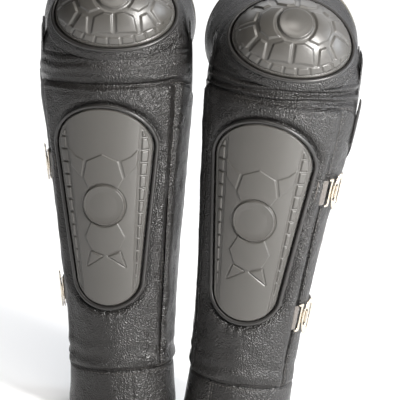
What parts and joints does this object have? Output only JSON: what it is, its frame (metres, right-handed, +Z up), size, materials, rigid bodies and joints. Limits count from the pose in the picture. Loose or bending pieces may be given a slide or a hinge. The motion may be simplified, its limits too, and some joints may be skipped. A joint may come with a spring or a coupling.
{
  "type": "hockey shin guards",
  "caption": "Pair of padded leather shin and knee guards with moulded armour, hinged knee cup, thigh sleeve, rear flap and side hook buckles.",
  "frame": {"origin": "on the ground, at the middle of the pair's overall box", "axes": "+Z up the legs, -Y to the front, +X from the left guard to the right guard as seen from the front"},
  "size_m": [0.4024, 0.2606, 0.5129],
  "materials": {
    "leather": "pebbled black leather over thin foam",
    "armour": "satin moulded rubber",
    "piping": "smooth black leather over cord",
    "lining": "short plush",
    "foam": "closed foam",
    "fleece": "brown-black fleece on elastic",
    "binding": "woven binding tape",
    "webbing": "grey-brown woven elastic",
    "elastic": "ribbed black elastic",
    "fastener": "hook-and-loop pile",
    "buckle_metal": "pale gold plated pressed steel"
  },
  "bodies": {
    "left_shin": {"left_shin_lining": "lining", "left_shin_foam": "foam", "left_shin_front_panel": "leather", "left_shin_outer_panel": "leather", "left_shin_inner_panel": "leather", "left_fold_panel": "leather", "left_ankle_cuff": "leather", "left_ankle_hem": "binding", "left_shin_plate": "armour", "left_shin_plate_piping": "piping", "left_buckle_tabs": "webbing", "left_buckle_hooks": "buckle_metal"},
    "left_calf_flap": {"left_calf_flap": "fleece", "left_calf_flap_binding": "binding"},
    "left_upper_buckle": {"left_upper_strap": "webbing", "left_upper_ring": "buckle_metal"},
    "left_lower_buckle": {"left_lower_strap": "webbing", "left_lower_ring": "buckle_metal"},
    "left_knee_strap": {"left_knee_strap": "elastic", "left_knee_strap_fastener": "fastener"},
    "left_knee": {"left_knee_cup": "armour", "left_knee_cup_piping": "piping", "left_knee_panel": "leather", "left_knee_foam": "foam", "left_knee_gussets": "leather"},
    "left_thigh": {"left_thigh_panel": "leather", "left_thigh_lining": "lining", "left_thigh_hem": "binding"},
    "left_thigh_strap": {"left_thigh_strap": "elastic", "left_thigh_strap_fastener": "fastener"},
    "right_shin": {"right_shin_lining": "lining", "right_shin_foam": "foam", "right_shin_front_panel": "leather", "right_shin_outer_panel": "leather", "right_shin_inner_panel": "leather", "right_fold_panel": "leather", "right_ankle_cuff": "leather", "right_ankle_hem": "binding", "right_shin_plate": "armour", "right_shin_plate_piping": "piping", "right_buckle_tabs": "webbing", "right_buckle_hooks": "buckle_metal"},
    "right_calf_flap": {"right_calf_flap": "fleece", "right_calf_flap_binding": "binding"},
    "right_upper_buckle": {"right_upper_strap": "webbing", "right_upper_ring": "buckle_metal"},
    "right_lower_buckle": {"right_lower_strap": "webbing", "right_lower_ring": "buckle_metal"},
    "right_knee_strap": {"right_knee_strap": "elastic", "right_knee_strap_fastener": "fastener"},
    "right_knee": {"right_knee_cup": "armour", "right_knee_cup_piping": "piping", "right_knee_panel": "leather", "right_knee_foam": "foam", "right_knee_gussets": "leather"},
    "right_thigh": {"right_thigh_panel": "leather", "right_thigh_lining": "lining", "right_thigh_hem": "binding"},
    "right_thigh_strap": {"right_thigh_strap": "elastic", "right_thigh_strap_fastener": "fastener"}
  },
  "joints": [
    {"name": "left_knee_flex", "type": "hinge", "parent": "left_shin", "child": "left_thigh", "pos_m": [-0.08154, -0.03994, 0.42785], "axis": [0.9755, 0.2079, 0.0716], "range_deg": [-15, 80]},
    {"name": "left_knee_cup_follow", "type": "hinge", "parent": "left_shin", "child": "left_knee", "pos_m": [-0.07379, -0.06439, 0.39332], "axis": [0.9755, 0.2079, 0.0716], "range_deg": [-7.5, 40]},
    {"name": "left_calf_flap_open", "type": "hinge", "parent": "left_shin", "child": "left_calf_flap", "pos_m": [-0.02698, 0.00779, 0.08593], "axis": [0.035, -0.1064, -0.9937], "range_deg": [0, 100]},
    {"name": "left_upper_buckle_swing", "type": "hinge", "parent": "left_calf_flap", "child": "left_upper_buckle", "pos_m": [-0.14724, -0.0175, 0.28565], "axis": [0.0732, 0, -0.9973], "range_deg": [0, 100]},
    {"name": "left_lower_buckle_swing", "type": "hinge", "parent": "left_calf_flap", "child": "left_lower_buckle", "pos_m": [-0.12282, -0.01795, 0.13905], "axis": [0.0732, 0, -0.9973], "range_deg": [0, 100]},
    {"name": "left_knee_strap_open", "type": "hinge", "parent": "left_shin", "child": "left_knee_strap", "pos_m": [-0.03451, 0.03018, 0.30998], "axis": [0.0732, 0, -0.9973], "range_deg": [0, 29]},
    {"name": "left_thigh_strap_open", "type": "hinge", "parent": "left_thigh", "child": "left_thigh_strap", "pos_m": [-0.04709, 0.09933, 0.36772], "axis": [0.2074, -0.9781, 0.0152], "range_deg": [0, 70]},
    {"name": "right_knee_flex", "type": "hinge", "parent": "right_shin", "child": "right_thigh", "pos_m": [0.11242, -0.03994, 0.41588], "axis": [0.9755, 0.2079, -0.0716], "range_deg": [-15, 80]},
    {"name": "right_knee_cup_follow", "type": "hinge", "parent": "right_shin", "child": "right_knee", "pos_m": [0.11504, -0.06439, 0.38059], "axis": [0.9755, 0.2079, -0.0716], "range_deg": [-7.5, 40]},
    {"name": "right_calf_flap_open", "type": "hinge", "parent": "right_shin", "child": "right_calf_flap", "pos_m": [0.05874, 0.00779, 0.08593], "axis": [0.035, 0.1064, 0.9937], "range_deg": [0, 100]},
    {"name": "right_upper_buckle_swing", "type": "hinge", "parent": "right_calf_flap", "child": "right_upper_buckle", "pos_m": [0.179, -0.0175, 0.28565], "axis": [0.0732, 0, 0.9973], "range_deg": [0, 100]},
    {"name": "right_lower_buckle_swing", "type": "hinge", "parent": "right_calf_flap", "child": "right_lower_buckle", "pos_m": [0.15458, -0.01795, 0.13905], "axis": [0.0732, 0, 0.9973], "range_deg": [0, 100]},
    {"name": "right_knee_strap_open", "type": "hinge", "parent": "right_shin", "child": "right_knee_strap", "pos_m": [0.06627, 0.03018, 0.30998], "axis": [0.0732, 0, 0.9973], "range_deg": [0, 29]},
    {"name": "right_thigh_strap_open", "type": "hinge", "parent": "right_thigh", "child": "right_thigh_strap", "pos_m": [0.02406, 0.07511, 0.35971], "axis": [-0.2074, 0.9781, 0.0152], "range_deg": [0, 70]},
    {"name": "pair_apart", "type": "slide", "parent": "left_shin", "child": "right_shin", "axis": [1, 0, 0], "range_m": [0, 0.15]}
  ],
  "couplings": [
    {"joint": "left_knee_cup_follow", "follows": "left_knee_flex", "ratio": 0.5},
    {"joint": "left_upper_buckle_swing", "follows": "left_calf_flap_open", "ratio": 1},
    {"joint": "left_lower_buckle_swing", "follows": "left_calf_flap_open", "ratio": 1},
    {"joint": "right_knee_cup_follow", "follows": "right_knee_flex", "ratio": 0.5},
    {"joint": "right_upper_buckle_swing", "follows": "right_calf_flap_open", "ratio": 1},
    {"joint": "right_lower_buckle_swing", "follows": "right_calf_flap_open", "ratio": 1}
  ]
}
